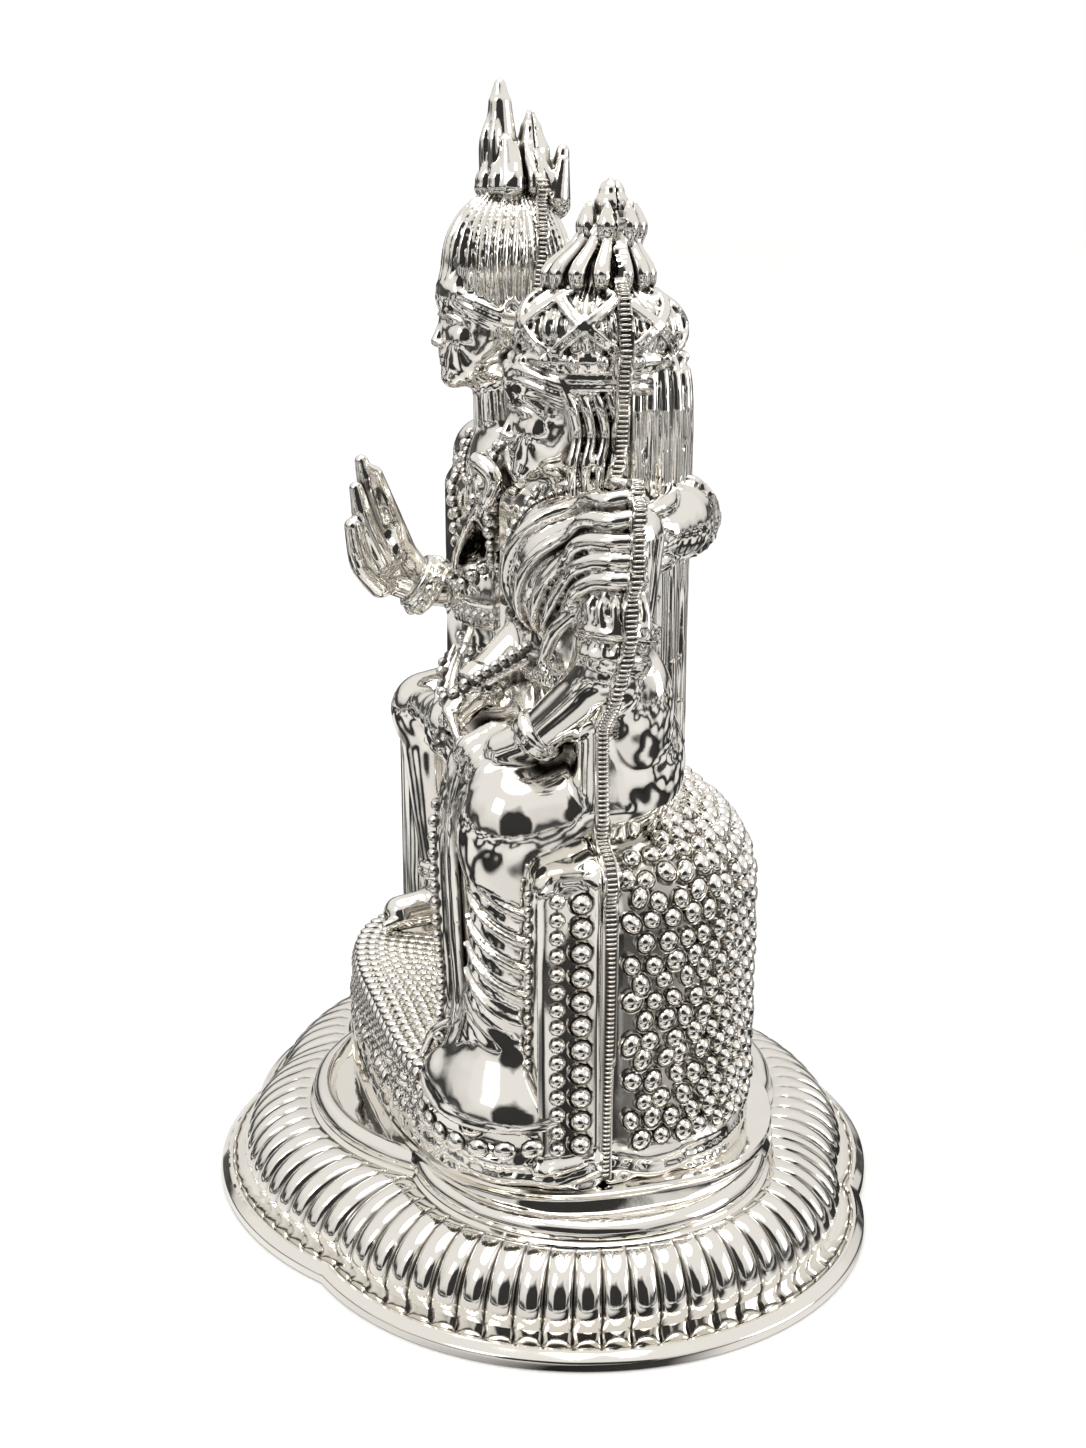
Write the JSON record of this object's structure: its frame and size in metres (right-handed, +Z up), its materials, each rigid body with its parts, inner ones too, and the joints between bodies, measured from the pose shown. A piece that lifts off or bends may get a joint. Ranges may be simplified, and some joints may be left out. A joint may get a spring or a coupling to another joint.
{
  "type": "silver deity group idol",
  "caption": "Pressed silver figure of a seated divine couple on a shared throne, one hand raised in blessing, on a fluted base of four lobes.",
  "frame": {"origin": "centre of the base's underside", "axes": "+Z up; the figures face -Y; +X is the figures' own left, where the goddess sits"},
  "size_m": [0.1512, 0.124, 0.1998],
  "materials": {
    "silver_figures": "bright polished silver, slightly warm",
    "silver_base": "bright polished silver, slightly warm, the flat plate lightly hammered",
    "silver_seam": "polished silver solder, a little duller, with yellowish grains in its ribs"
  },
  "bodies": {
    "root": {"lotus_base": "silver_base", "figures_front": "silver_figures", "figures_back": "silver_figures", "seam_band": "silver_seam", "blessing_hand": "silver_figures"}
  },
  "joints": []
}
